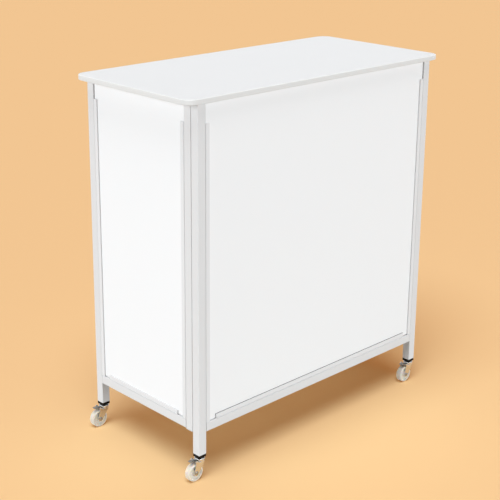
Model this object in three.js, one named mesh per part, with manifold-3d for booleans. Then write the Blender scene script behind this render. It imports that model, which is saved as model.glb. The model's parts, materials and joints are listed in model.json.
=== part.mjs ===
// Portable promotion counter: a front frame with two wings that fold in behind it, a lift-off
// worktop and four braked swivel casters. Millimetres, +Z up, front towards -Y, floor at zero.
import * as THREE from "three";
import { mergeVertices } from "three/addons/utils/BufferGeometryUtils.js";
import Module from "manifold-3d";

const wasm = await Module();
wasm.setup();

// Overall sizes
const counterHeight = 891;
const casterHeight = 62;

// Worktop, and how far it stands past the frame
const worktopWidth = 844;
const worktopDepth = 400;
const worktopSideOverhang = 32;
const worktopFrontOverhang = 9;
const worktopThickness = 12;
const worktopCornerRadius = 30;
const edgeBandThickness = 2;
const glueLine = 0.1;
const pegLength = 14;
const pegClearance = 0.6;
const pegChamfer = 2;

// Tubes and rails
const tubeSize = 22;
const tubeWall = 1.6;
const tubeCornerRadius = 1.5;
const railWall = 1.6;
const legBelowRail = 55;
const bottomRailHeight = 22;
const topRailHeight = 43;
const foldGap = 1;
const railEndGap = 0.7;

// Panels and the channels that hold them
const panelThickness = 4;
const panelSlack = 1;
const panelTopGap = 1.5;
const channelWall = 1.5;
const channelWidth = 11;
const channelTopGap = 2;
const channelEndSetback = 30;
const channelGrooveWidth = 1.6;
const channelGrooveDepth = 1;
const channelGrooveShare = 0.14;

// Butt hinges between the front legs and the stiles
const hingeHeight = 64;
const hingeLeafWidth = 11.5;
const hingeLeafThickness = 2;
const knuckleRadius = 3.6;
const knuckleGap = 0.25;
const hingePinRadius = 1.5;
const hingePinClearance = 0.3;
const hingeHeightShares = [0.16, 0.84];
const knuckleCount = 5;

// Clearance between pieces that seat on each other
const seat = 0.3;

// Casters, measured up from the floor and out from the swivel axis
const wheelRadius = 21.5;
const wheelWidth = 16;
const wheelTrail = 18;
const treadEdgeRadius = 3;
const hubRadius = 8;
const webRecess = 2.5;
const rimThickness = 4.5;
const axleRadius = 3;
const axleClearance = 0.3;
const axleHeadRadius = 4.8;
const axleHeadThickness = 1.6;
const cheekThickness = 1.6;
const cheekGap = 0.8;
const axleBossRadius = 6.5;
const crownGap = 2;
const crownThickness = 2;
const crownRearReach = 10;
const lowerRaceHeight = 2.6;
const raceGap = 0.4;
const upperRaceRadius = 12.6;
const upperRaceHeight = 2.8;
const upperRaceShoulder = 2.2;
const upperRaceNeckRadius = 9;
const kingpinRadius = 3.6;
const kingpinClearance = 0.4;
const kingpinHeadRadius = 5.6;
const kingpinHeadHeight = 2;
const stemRadius = 4;
const stemClearance = 0.4;
const stemLength = 26;
const capSleeveLength = 30;
const capCornerRadius = 2;
const capSleeveChamfer = 1.5;
const stilePlugFlange = 1.6;

// Brake pedal, its pivot measured from the swivel axis and up from the crown's top face
const pedalPivotReach = 16;
const pedalPivotRise = 1.2;
const pedalPinRadius = 1.5;
const pedalPinClearance = 0.25;
const pedalBarrelRadius = 3;
const pedalNoseClearance = 0.3;
const pedalNoseHalfWidth = 1.3;
const pedalTravel = 25;
const pedalReach = 16;
const pedalRise = 5;
const pedalLip = 3.5;
const pedalThickness = 1.8;
const pedalSideGap = 1;
const pedalFootWidth = 10;
const earRadius = 3.4;

// Smoothness of round stretches, as counts of steps
const cornerSteps = 2;
const worktopCornerSteps = 8;
const roundSteps = 14;
const hingeSteps = 12;
const wheelSteps = 24;

// Places that follow from the sizes above
const worktopUnderside = counterHeight - worktopThickness;
const frameTop = worktopUnderside - seat;
const frameWidth = worktopWidth - 2 * worktopSideOverhang;
const frameDepth = worktopDepth - 2 * worktopFrontOverhang;
const railBottom = casterHeight + legBelowRail;
const railTop = railBottom + bottomRailHeight;
const left = -frameWidth / 2;
const right = frameWidth / 2;
const front = -frameDepth / 2;
const back = frameDepth / 2;
const tubeInside = tubeSize - 2 * tubeWall;
const panelSlot = panelThickness + panelSlack + 2 * seat;
const channelDepth = panelSlot + 2 * channelWall;
const topRailSetback = channelWall + panelSlot;
const hingeAxisInset = tubeSize + seat + knuckleRadius;
const hingeAxisDepth = front + tubeSize + foldGap / 2;

const finishes = {
  frame: { color: 0xeceded, roughness: 0.42, metalness: 0.05 },
  channel: { color: 0xe4e5e6, roughness: 0.38, metalness: 0 },
  panel: { color: 0xf6f6f6, roughness: 0.45, metalness: 0 },
  worktop: { color: 0xf1f1f4, roughness: 0.4, metalness: 0 },
  edging: { color: 0xf4f3ee, roughness: 0.5, metalness: 0 },
  zinc: { color: 0xc6c8c8, roughness: 0.3, metalness: 0.9 },
  steel: { color: 0xb4b6b8, roughness: 0.35, metalness: 0.9 },
  blackPlastic: { color: 0x121212, roughness: 0.5, metalness: 0 },
  whitePlastic: { color: 0xe9e9e7, roughness: 0.5, metalness: 0 },
  wheel: { color: 0xe9e6de, roughness: 0.35, metalness: 0 },
};

// Solids: three.js geometry in, three.js geometry out, joined and cut in between
function solid(geometry) {
  const bare = geometry.clone();
  bare.deleteAttribute("normal");
  bare.deleteAttribute("uv");
  const merged = mergeVertices(bare, 1e-4);
  const vertProperties = new Float32Array(merged.attributes.position.array);
  const triVerts = new Uint32Array(merged.index.array);
  return new wasm.Manifold(new wasm.Mesh({ numProp: 3, vertProperties, triVerts }));
}

function geometryOf(manifold) {
  const mesh = manifold.getMesh();
  const geometry = new THREE.BufferGeometry();
  geometry.setAttribute("position", new THREE.BufferAttribute(new Float32Array(mesh.vertProperties), 3));
  geometry.setIndex(new THREE.BufferAttribute(new Uint32Array(mesh.triVerts), 1));
  geometry.computeVertexNormals();
  return geometry;
}

function joined(first, ...others) {
  return geometryOf(others.reduce((sum, other) => sum.add(solid(other)), solid(first)));
}

function cut(first, ...tools) {
  return geometryOf(tools.reduce((rest, tool) => rest.subtract(solid(tool)), solid(first)));
}

function piece(name, geometry, finish) {
  const mesh = new THREE.Mesh(geometry, new THREE.MeshStandardMaterial(finishes[finish]));
  mesh.name = name;
  return mesh;
}

function extrude(shape, depth, steps = cornerSteps) {
  return new THREE.ExtrudeGeometry(shape, { depth, bevelEnabled: false, curveSegments: steps });
}

// A rectangle with round corners, its low corner at the origin
function roundedRectangle(Path, width, height, radius) {
  const path = new Path();
  path.moveTo(radius, 0);
  path.lineTo(width - radius, 0);
  path.absarc(width - radius, radius, radius, -Math.PI / 2, 0);
  path.lineTo(width, height - radius);
  path.absarc(width - radius, height - radius, radius, 0, Math.PI / 2);
  path.lineTo(radius, height);
  path.absarc(radius, height - radius, radius, Math.PI / 2, Math.PI);
  path.lineTo(0, radius);
  path.absarc(radius, radius, radius, Math.PI, 1.5 * Math.PI);
  return path;
}

function tubeSection(width, height, wall, radius) {
  const shape = roundedRectangle(THREE.Shape, width, height, radius);
  const bore = new THREE.Path();
  bore.moveTo(wall, wall);
  bore.lineTo(wall, height - wall);
  bore.lineTo(width - wall, height - wall);
  bore.lineTo(width - wall, wall);
  bore.closePath();
  shape.holes.push(bore);
  return shape;
}

function cylinder(radius, length, steps = roundSteps) {
  return new THREE.CylinderGeometry(radius, radius, length, steps);
}

// Legs and stiles: square tube, cut square at both ends
function post(name, x, y, bottom) {
  const section = tubeSection(tubeSize, tubeSize, tubeWall, tubeCornerRadius);
  const mesh = piece(name, extrude(section, frameTop - bottom), "frame");
  mesh.position.set(x, y, bottom);
  return mesh;
}

// A rail runs along X: its section is drawn as depth and height
function rail(name, depth, height, length) {
  const turned = new THREE.Matrix4().makeBasis(
    new THREE.Vector3(0, 1, 0),
    new THREE.Vector3(0, 0, 1),
    new THREE.Vector3(1, 0, 0),
  );
  const geometry = extrude(tubeSection(depth, height, railWall, tubeCornerRadius), length);
  return piece(name, geometry.applyMatrix4(turned), "frame");
}

// The panel channel: a U with a shadow groove along its foot. It opens away from the post,
// towards +X where side is 1 and towards -X where side is -1
function channelSection(side) {
  const grooveNear = channelWidth * channelGrooveShare - channelGrooveWidth / 2;
  const points = [
    [0, 0],
    [grooveNear, 0],
    [grooveNear, channelGrooveDepth],
    [grooveNear + channelGrooveWidth, channelGrooveDepth],
    [grooveNear + channelGrooveWidth, 0],
    [channelWidth, 0],
    [channelWidth, channelWall],
    [channelWall, channelWall],
    [channelWall, channelDepth - channelWall],
    [channelWidth, channelDepth - channelWall],
    [channelWidth, channelDepth],
    [0, channelDepth],
  ];
  return new THREE.Shape(points.map(([u, v]) => new THREE.Vector2(side * u, v)));
}

// One bay between two posts: two rails, three channels and the panel, pushed to the back of its
// slot. The bay's own X runs from post to post, its Y from the outer face inwards
function bay(names, width) {
  const group = new THREE.Group();
  const railLength = width - 2 * railEndGap;

  const bottomRail = rail(names.bottomRail, tubeSize, bottomRailHeight, railLength);
  bottomRail.position.set(railEndGap, 0, railBottom);

  const topRail = rail(names.topRail, tubeSize - topRailSetback, topRailHeight, railLength);
  topRail.position.set(railEndGap, topRailSetback, frameTop - topRailHeight);

  const channelBottom = railTop + seat;
  const channelTop = frameTop - topRailHeight - channelTopGap;
  const startChannel = piece(
    names.startChannel,
    extrude(channelSection(1), channelTop - channelBottom),
    "channel",
  );
  startChannel.position.set(seat, 0, channelBottom);
  const endChannel = piece(
    names.endChannel,
    extrude(channelSection(-1), channelTop - channelBottom),
    "channel",
  );
  endChannel.position.set(width - seat, 0, channelBottom);

  const bottomChannel = piece(
    names.bottomChannel,
    extrude(channelSection(-1), width - 2 * channelEndSetback).rotateY(Math.PI / 2),
    "channel",
  );
  bottomChannel.position.set(channelEndSetback, 0, channelBottom);

  const panelSide = channelWall + 2 * seat;
  const panelBottom = channelBottom + channelWall + seat;
  const panelHeight = worktopUnderside - panelTopGap - panelBottom;
  const panel = piece(
    names.panel,
    new THREE.BoxGeometry(width - 2 * panelSide, panelThickness, panelHeight),
    "panel",
  );
  panel.position.set(
    width / 2,
    channelWall + seat + panelSlack + panelThickness / 2,
    panelBottom + panelHeight / 2,
  );

  group.add(bottomRail, topRail, startChannel, endChannel, bottomChannel, panel);
  return group;
}

// Front frame: the two front legs and the wide bay between them
function frontFrame() {
  const group = new THREE.Group();
  group.add(post("front_left_leg", left, front, casterHeight));
  group.add(post("front_right_leg", right - tubeSize, front, casterHeight));
  const names = {
    bottomRail: "front_bottom_rail",
    topRail: "front_top_rail",
    startChannel: "front_left_channel",
    endChannel: "front_right_channel",
    bottomChannel: "front_bottom_channel",
    panel: "front_panel",
  };
  const frontBay = bay(names, frameWidth - 2 * tubeSize);
  frontBay.position.set(left + tubeSize, front, 0);
  group.add(frontBay);
  return group;
}

// The thin white plug that closes a stile's open lower end
function stilePlug(name, x, y) {
  const inside = tubeInside - 2 * seat;
  const flange = extrude(
    roundedRectangle(THREE.Shape, tubeSize, tubeSize, capCornerRadius),
    stilePlugFlange,
  );
  const sleeve = extrude(
    roundedRectangle(THREE.Shape, inside, inside, capCornerRadius),
    stilePlugFlange + tubeSize,
  );
  sleeve.translate(tubeWall + seat, tubeWall + seat, 0);
  const mesh = piece(name, joined(flange, sleeve), "whitePlastic");
  mesh.position.set(x, y, railBottom - stilePlugFlange - seat);
  return mesh;
}

// A wing: stile, rear leg and the narrow bay between them. side is -1 at the left, 1 at the right
function wing(prefix, side) {
  const group = new THREE.Group();
  const x = side < 0 ? left : right - tubeSize;
  const stileFront = front + tubeSize + foldGap;
  const bayWidth = back - tubeSize - (stileFront + tubeSize);
  group.add(post(`${prefix}_stile`, x, stileFront, railBottom));
  group.add(post(`rear_${prefix}_leg`, x, back - tubeSize, casterHeight));
  group.add(stilePlug(`${prefix}_stile_plug`, x, stileFront));
  const legChannel = `${prefix}_leg_channel`;
  const stileChannel = `${prefix}_stile_channel`;
  const names = {
    bottomRail: `${prefix}_bottom_rail`,
    topRail: `${prefix}_top_rail`,
    startChannel: side < 0 ? legChannel : stileChannel,
    endChannel: side < 0 ? stileChannel : legChannel,
    bottomChannel: `${prefix}_bottom_channel`,
    panel: `${prefix}_panel`,
  };
  const wingBay = bay(names, bayWidth);
  wingBay.rotation.z = (side * Math.PI) / 2;
  wingBay.position.set(side < 0 ? left : right, side < 0 ? back - tubeSize : stileFront + tubeSize, 0);
  group.add(wingBay);
  return group;
}

// One leaf of a butt hinge on the left side, its axis at the origin and its plate on the
// tube's inner face. The fixed leaf lies towards -Y and holds the pin, the wing's lies towards +Y
function hingeLeaf(fixed) {
  const segment = hingeHeight / knuckleCount;
  const plateEnd = fixed ? -seat - hingeLeafWidth : seat;
  const plate = new THREE.BoxGeometry(hingeLeafThickness, hingeLeafWidth, hingeHeight);
  plate.translate(hingeLeafThickness / 2 - knuckleRadius, plateEnd + hingeLeafWidth / 2, 0);
  const knuckles = [];
  const cutters = [];
  for (let i = 0; i < knuckleCount; i += 1) {
    const height = segment * (i + 0.5) - hingeHeight / 2;
    const own = (i % 2 === 0) === fixed;
    const ends = own ? -knuckleGap : knuckleGap;
    const radius = own ? knuckleRadius : knuckleRadius + seat;
    const barrel = cylinder(radius, segment + ends, hingeSteps).rotateX(Math.PI / 2);
    barrel.translate(0, 0, height);
    (own ? knuckles : cutters).push(barrel);
    if (own) {
      const strap = new THREE.BoxGeometry(hingeLeafThickness, knuckleRadius, segment - knuckleGap);
      const reach = fixed ? -knuckleRadius / 2 : knuckleRadius / 2;
      strap.translate(hingeLeafThickness / 2 - knuckleRadius, reach, height);
      knuckles.push(strap);
    }
  }
  const leaf = cut(joined(plate, ...knuckles), ...cutters);
  if (fixed) {
    return joined(leaf, cylinder(hingePinRadius, hingeHeight, hingeSteps).rotateX(Math.PI / 2));
  }
  const bore = hingePinRadius + hingePinClearance;
  return cut(leaf, cylinder(bore, hingeHeight + 2 * knuckleRadius, hingeSteps).rotateX(Math.PI / 2));
}

// Mirrors a closed geometry in the plane between left and right
function mirrored(geometry) {
  const flipped = geometry.clone().scale(-1, 1, 1);
  const index = flipped.index.array;
  for (let i = 0; i < index.length; i += 3) {
    const swap = index[i];
    index[i] = index[i + 1];
    index[i + 1] = swap;
  }
  flipped.computeVertexNormals();
  return flipped;
}

function hinges() {
  const group = new THREE.Group();
  const leaves = { leg: hingeLeaf(true), wing: hingeLeaf(false) };
  const run = frameTop - railBottom;
  for (const [prefix, side] of [["left", -1], ["right", 1]]) {
    ["lower", "upper"].forEach((level, i) => {
      for (const holder of ["leg", "wing"]) {
        const geometry = side < 0 ? leaves[holder].clone() : mirrored(leaves[holder]);
        const mesh = piece(`${prefix}_${level}_hinge_${holder}_leaf`, geometry, "steel");
        const height = railBottom + run * hingeHeightShares[i];
        mesh.position.set(side * (frameWidth / 2 - hingeAxisInset), hingeAxisDepth, height);
        group.add(mesh);
      }
    });
  }
  return group;
}

// Worktop board with two pegs that drop into the front legs, and the band round its edge
function worktop() {
  const group = new THREE.Group();
  const inset = edgeBandThickness + glueLine;
  const boardWidth = worktopWidth - 2 * inset;
  const boardDepth = worktopDepth - 2 * inset;
  const board = extrude(
    roundedRectangle(THREE.Shape, boardWidth, boardDepth, worktopCornerRadius - inset),
    worktopThickness,
    worktopCornerSteps,
  );
  board.translate(-boardWidth / 2, -boardDepth / 2, 0);
  const pegSize = tubeInside - 2 * pegClearance;
  const pegs = [left + tubeSize / 2, right - tubeSize / 2].map((x) => {
    const profile = new THREE.Shape();
    profile.moveTo(-pegSize / 2, worktopThickness / 2);
    profile.lineTo(-pegSize / 2, pegChamfer - pegLength);
    profile.lineTo(pegChamfer - pegSize / 2, -pegLength);
    profile.lineTo(pegSize / 2 - pegChamfer, -pegLength);
    profile.lineTo(pegSize / 2, pegChamfer - pegLength);
    profile.lineTo(pegSize / 2, worktopThickness / 2);
    const peg = extrude(profile, pegSize).rotateX(Math.PI / 2);
    return peg.translate(x, front + tubeSize / 2 + pegSize / 2, 0);
  });
  const top = piece("worktop_board", joined(board, ...pegs), "worktop");
  top.position.set(0, 0, worktopUnderside);

  const rim = roundedRectangle(THREE.Shape, worktopWidth, worktopDepth, worktopCornerRadius);
  const hole = roundedRectangle(
    THREE.Path,
    worktopWidth - 2 * edgeBandThickness,
    worktopDepth - 2 * edgeBandThickness,
    worktopCornerRadius - edgeBandThickness,
  );
  const steps = worktopCornerSteps;
  const holePoints = hole.getPoints(steps).map((p) => p.addScalar(edgeBandThickness));
  rim.holes.push(new THREE.Path(holePoints));
  const band = piece("worktop_edge_band", extrude(rim, worktopThickness, steps), "edging");
  band.position.set(-worktopWidth / 2, -worktopDepth / 2, worktopUnderside);
  group.add(top, band);
  return group;
}

// Casters. Each is drawn with its swivel axis at the origin and trails towards -X
const cheekInside = wheelWidth / 2 + cheekGap;
const cheekOutside = cheekInside + cheekThickness;
const crownUnderside = 2 * wheelRadius + crownGap;
const crownTop = crownUnderside + crownThickness;
const lowerRaceTop = crownTop + lowerRaceHeight;
const upperRaceBottom = lowerRaceTop + raceGap;
const upperRaceTop = upperRaceBottom + upperRaceHeight;
const headTop = upperRaceTop + upperRaceShoulder;
const pedalPivot = new THREE.Vector2(-pedalPivotReach, crownTop + pedalPivotRise);
const axlePoint = new THREE.Vector2(-wheelTrail, wheelRadius);

// Moulded wheel: rounded tread, recessed web on both faces and a bored hub
function casterWheel() {
  const half = wheelWidth / 2;
  const rimInside = wheelRadius - rimThickness;
  const bore = axleRadius + axleClearance;
  const profile = new THREE.Path();
  profile.moveTo(bore, -half);
  profile.lineTo(hubRadius, -half);
  profile.lineTo(hubRadius + webRecess / 2, webRecess - half);
  profile.lineTo(rimInside - webRecess / 2, webRecess - half);
  profile.lineTo(rimInside, -half);
  profile.lineTo(wheelRadius - treadEdgeRadius, -half);
  profile.absarc(wheelRadius - treadEdgeRadius, treadEdgeRadius - half, treadEdgeRadius, -Math.PI / 2, 0);
  profile.lineTo(wheelRadius, half - treadEdgeRadius);
  profile.absarc(wheelRadius - treadEdgeRadius, half - treadEdgeRadius, treadEdgeRadius, 0, Math.PI / 2);
  profile.lineTo(rimInside, half);
  profile.lineTo(rimInside - webRecess / 2, half - webRecess);
  profile.lineTo(hubRadius + webRecess / 2, half - webRecess);
  profile.lineTo(hubRadius, half);
  profile.lineTo(bore, half);
  profile.lineTo(bore, -half);
  const ring = new THREE.LatheGeometry(profile.getPoints(cornerSteps), wheelSteps);
  return ring.translate(axlePoint.x, 0, axlePoint.y);
}

// Axle rivet with a flat head outside each cheek
function casterAxle() {
  const inner = cheekOutside + seat;
  const outer = inner + axleHeadThickness;
  const profile = [
    [0, -outer],
    [axleHeadRadius - axleHeadThickness / 2, -outer],
    [axleHeadRadius, axleHeadThickness / 2 - outer],
    [axleHeadRadius, -inner],
    [axleRadius, -inner],
    [axleRadius, inner],
    [axleHeadRadius, inner],
    [axleHeadRadius, outer - axleHeadThickness / 2],
    [axleHeadRadius - axleHeadThickness / 2, outer],
    [0, outer],
  ].map(([r, y]) => new THREE.Vector2(r, y));
  return new THREE.LatheGeometry(profile, roundSteps).translate(axlePoint.x, 0, axlePoint.y);
}

// Side view of a fork cheek: axle boss below, ear for the pedal's pin at the back
function cheekOutline() {
  const shape = new THREE.Shape();
  const frontTop = cheekOutside / 2;
  shape.moveTo(frontTop, crownTop);
  shape.lineTo(pedalPivot.x + earRadius, crownTop);
  shape.absarc(pedalPivot.x, pedalPivot.y, earRadius, 0, Math.PI);
  shape.lineTo(pedalPivot.x - earRadius, crownUnderside - crownThickness);
  shape.lineTo(axlePoint.x - axleBossRadius, axlePoint.y);
  shape.absarc(axlePoint.x, axlePoint.y, axleBossRadius, Math.PI, 1.85 * Math.PI);
  shape.lineTo(frontTop, crownUnderside - crownThickness);
  return shape;
}

// Pressed steel fork: two cheeks, a crown with the lower bearing race, and the pedal's pin
function casterFork() {
  const cheek = extrude(cheekOutline(), cheekThickness, 2 * cornerSteps).rotateX(Math.PI / 2);
  const cheeks = [cheekOutside, cheekThickness - cheekOutside].map((y) => cheek.clone().translate(0, y, 0));
  const crownShape = new THREE.Shape();
  crownShape.moveTo(-crownRearReach, -cheekOutside);
  crownShape.lineTo(0, -cheekOutside);
  crownShape.absarc(0, 0, cheekOutside, -Math.PI / 2, Math.PI / 2);
  crownShape.lineTo(-crownRearReach, cheekOutside);
  crownShape.closePath();
  const crown = extrude(crownShape, crownThickness, roundSteps / 2).translate(0, 0, crownUnderside);
  const race = cylinder(cheekOutside, lowerRaceHeight + crownThickness / 2).rotateX(Math.PI / 2);
  race.translate(0, 0, crownTop + lowerRaceHeight / 2 - crownThickness / 4);
  const pin = cylinder(pedalPinRadius, 2 * cheekOutside, roundSteps / 2);
  pin.translate(pedalPivot.x, 0, pedalPivot.y);
  const kingpinBore = cylinder(kingpinRadius + kingpinClearance, 4 * crownThickness + 2 * lowerRaceHeight);
  kingpinBore.rotateX(Math.PI / 2).translate(0, 0, crownTop);
  const axleBore = cylinder(axleRadius + axleClearance, 4 * cheekOutside);
  axleBore.translate(axlePoint.x, 0, axlePoint.y);
  return cut(joined(crown, ...cheeks, race, pin), kingpinBore, axleBore);
}

// Fixed head: riveted kingpin below, upper bearing race, and the stem up into the tube
function casterHead() {
  const headBottom = crownUnderside - seat;
  const profile = [
    [0, headBottom - kingpinHeadHeight],
    [kingpinHeadRadius - kingpinHeadHeight / 2, headBottom - kingpinHeadHeight],
    [kingpinHeadRadius, headBottom - kingpinHeadHeight / 2],
    [kingpinHeadRadius, headBottom],
    [kingpinRadius, headBottom],
    [kingpinRadius, upperRaceBottom],
    [upperRaceRadius, upperRaceBottom],
    [upperRaceRadius, upperRaceTop],
    [upperRaceNeckRadius, headTop],
    [stemRadius, headTop],
    [stemRadius, casterHeight + stemLength],
    [0, casterHeight + stemLength],
  ].map(([r, z]) => new THREE.Vector2(r, z));
  return new THREE.LatheGeometry(profile, roundSteps).rotateX(Math.PI / 2);
}

// Black plastic socket: a square flange under the tube's end and a sleeve inside the tube
function casterCap() {
  const flangeBottom = headTop + seat;
  const flangeHeight = casterHeight - seat - flangeBottom;
  const flange = extrude(
    roundedRectangle(THREE.Shape, tubeSize, tubeSize, capCornerRadius),
    flangeHeight,
  ).translate(-tubeSize / 2, -tubeSize / 2, flangeBottom);
  const inside = tubeInside - 2 * seat;
  const sleeve = new THREE.CylinderGeometry(
    inside / Math.SQRT2 - capSleeveChamfer,
    inside / Math.SQRT2,
    capSleeveLength + flangeHeight,
    4,
  );
  sleeve.rotateX(Math.PI / 2).rotateZ(Math.PI / 4);
  sleeve.translate(0, 0, flangeBottom + (capSleeveLength + flangeHeight) / 2);
  const bore = cylinder(stemRadius + stemClearance, 2 * (capSleeveLength + flangeHeight));
  bore.rotateX(Math.PI / 2).translate(0, 0, casterHeight);
  return cut(joined(flange, sleeve), bore);
}

// Side view of the brake pedal round its pivot: barrel, cam nose towards the tread, foot plate
function pedalOutline() {
  const toAxle = axlePoint.clone().sub(pedalPivot);
  const noseReach = toAxle.length() - wheelRadius - pedalNoseClearance;
  const noseAngle = toAxle.angle() - THREE.MathUtils.degToRad(pedalTravel);
  const along = new THREE.Vector2(Math.cos(noseAngle), Math.sin(noseAngle));
  const across = new THREE.Vector2(-along.y, along.x);
  const spread = Math.acos(pedalNoseHalfWidth / pedalBarrelRadius);
  const tip = (side) =>
    along.clone().multiplyScalar(noseReach).addScaledVector(across, side * pedalNoseHalfWidth);
  const acrossAngle = noseAngle + Math.PI / 2;
  const shape = new THREE.Shape();
  const armTop = Math.PI / 2;
  shape.moveTo(0, pedalBarrelRadius);
  shape.lineTo(-pedalReach + pedalLip, pedalRise);
  shape.lineTo(-pedalReach, pedalRise - pedalLip / 2);
  shape.lineTo(-pedalReach, pedalRise - pedalLip / 2 - pedalThickness);
  shape.lineTo(-pedalReach + pedalLip, pedalRise - pedalThickness);
  shape.lineTo(-pedalBarrelRadius, pedalBarrelRadius - pedalThickness);
  shape.absarc(0, 0, pedalBarrelRadius, Math.PI, acrossAngle - Math.PI - spread + Math.PI);
  shape.lineTo(tip(-1).x, tip(-1).y);
  shape.lineTo(tip(1).x, tip(1).y);
  shape.absarc(0, 0, pedalBarrelRadius, acrossAngle - (Math.PI / 2 - spread), armTop + 2 * Math.PI);
  return shape;
}

// The pedal's barrel and nose fill the fork, and its foot plate is narrower
function casterPedal() {
  const width = 2 * (cheekInside - pedalSideGap);
  const trimWidth = width - pedalFootWidth;
  const plate = extrude(pedalOutline(), width, 2 * cornerSteps).rotateX(Math.PI / 2);
  plate.translate(pedalPivot.x, width / 2, pedalPivot.y);
  const bore = cylinder(pedalPinRadius + pedalPinClearance, 2 * width, roundSteps / 2);
  bore.translate(pedalPivot.x, 0, pedalPivot.y);
  const trims = [-1, 1].map((side) => {
    const trim = new THREE.BoxGeometry(pedalReach, trimWidth, 2 * pedalReach);
    const beside = (side * (pedalFootWidth + trimWidth)) / 2;
    return trim.translate(pedalPivot.x - pedalBarrelRadius - pedalReach / 2, beside, pedalPivot.y);
  });
  return cut(plate, bore, ...trims);
}

function casters() {
  const group = new THREE.Group();
  const middle = tubeSize / 2;
  const places = [
    ["front_left", left + middle, front + middle],
    ["front_right", right - middle, front + middle],
    ["rear_left", left + middle, back - middle],
    ["rear_right", right - middle, back - middle],
  ];
  const parts = [
    ["caster_cap", casterCap(), "blackPlastic"],
    ["caster_head", casterHead(), "zinc"],
    ["caster_fork", casterFork(), "zinc"],
    ["caster_wheel", casterWheel(), "wheel"],
    ["caster_axle", casterAxle(), "steel"],
    ["caster_brake", casterPedal(), "zinc"],
  ];
  for (const [corner, x, y] of places) {
    for (const [name, geometry, finish] of parts) {
      const mesh = piece(`${corner}_${name}`, geometry.clone(), finish);
      mesh.position.set(x, y, 0);
      group.add(mesh);
    }
  }
  return group;
}

const counter = new THREE.Group();
counter.add(frontFrame(), wing("left", -1), wing("right", 1), hinges(), worktop(), casters());

export default counter;
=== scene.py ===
import json
import math

import bmesh
import bpy
from mathutils import Matrix, Vector


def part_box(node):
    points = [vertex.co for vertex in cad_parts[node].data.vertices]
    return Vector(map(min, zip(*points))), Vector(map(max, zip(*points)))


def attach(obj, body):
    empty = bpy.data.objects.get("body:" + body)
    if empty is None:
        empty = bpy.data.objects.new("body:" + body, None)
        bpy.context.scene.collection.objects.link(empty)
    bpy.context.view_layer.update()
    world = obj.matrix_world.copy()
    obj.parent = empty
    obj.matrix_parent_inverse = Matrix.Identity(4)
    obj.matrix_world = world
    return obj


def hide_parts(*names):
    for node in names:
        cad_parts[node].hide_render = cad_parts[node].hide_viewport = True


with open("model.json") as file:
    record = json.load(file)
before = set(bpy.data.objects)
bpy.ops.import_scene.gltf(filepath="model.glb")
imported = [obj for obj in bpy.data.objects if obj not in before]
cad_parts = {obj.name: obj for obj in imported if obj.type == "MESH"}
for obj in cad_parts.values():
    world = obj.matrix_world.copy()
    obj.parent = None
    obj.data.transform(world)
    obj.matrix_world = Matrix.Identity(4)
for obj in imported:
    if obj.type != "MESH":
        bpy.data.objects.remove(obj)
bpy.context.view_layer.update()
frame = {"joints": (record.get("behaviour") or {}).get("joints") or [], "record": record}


# Studio: a plain peach paper floor that runs on out of sight, with the counter's shadow on it. To
# the light that leaves it, it is a neutral card, so that the white pieces stay white.
floor_size = 60
far_peach = (0.9, 0.567, 0.281, 1)
bpy.ops.object.select_all(action="DESELECT")
bpy.ops.mesh.primitive_plane_add(size=floor_size, location=(0, 0, 0))
studio_floor = bpy.context.object
studio_floor.name = "studio_floor"


def shown_to(tree, kinds, usual, special):
    """Mixes two shaders: special is what those kinds of rays meet, usual what all others meet."""
    rays = tree.nodes.new("ShaderNodeLightPath")
    meets = rays.outputs[kinds[0]]
    for kind in kinds[1:]:
        either = tree.nodes.new("ShaderNodeMath")
        either.operation = "MAXIMUM"
        tree.links.new(meets, either.inputs[0])
        tree.links.new(rays.outputs[kind], either.inputs[1])
        meets = either.outputs["Value"]
    mix = tree.nodes.new("ShaderNodeMixShader")
    tree.links.new(meets, mix.inputs["Fac"])
    tree.links.new(usual, mix.inputs[1])
    tree.links.new(special, mix.inputs[2])
    return mix.outputs["Shader"]


paper = bpy.data.materials.new("backdrop_paper")
paper.use_nodes = True
paper_nodes = paper.node_tree.nodes
paper_nodes.remove(paper_nodes["Principled BSDF"])
white_card = paper_nodes.new("ShaderNodeBsdfDiffuse")
white_card.inputs["Color"].default_value = (0.49, 0.59, 0.54, 1)
peach_card = paper_nodes.new("ShaderNodeBsdfDiffuse")
peach_card.inputs["Color"].default_value = (0.72, 0.568, 0.276, 1)
paper_look = shown_to(
    paper.node_tree,
    ("Is Camera Ray", "Is Glossy Ray", "Is Transmission Ray"),
    white_card.outputs["BSDF"],
    peach_card.outputs["BSDF"],
)
paper.node_tree.links.new(paper_look, paper_nodes["Material Output"].inputs["Surface"])
studio_floor.data.materials.append(paper)

# Camera: a long lens a little above the worktop, looking down at the near left corner. Its shift
# is kept small, so that the whole counter stays in the picture from every side.
camera_place = (-1.948004, -1.951872, 1.391849)
camera_turn = Matrix.Rotation(math.radians(-44.186), 4, "Z")
camera_pitch = Matrix.Rotation(math.radians(90 - 17.021), 4, "X")
camera_roll = Matrix.Rotation(math.radians(0.508), 4, "Z")
bpy.ops.object.camera_add(location=(0, 0, 0))
camera = bpy.context.object
camera.matrix_world = Matrix.Translation(camera_place) @ camera_turn @ camera_pitch @ camera_roll
camera.data.sensor_width = 36
camera.data.lens = 83.495
camera.data.shift_x = 0
camera.data.shift_y = -0.1
bpy.context.scene.camera = camera


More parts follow.
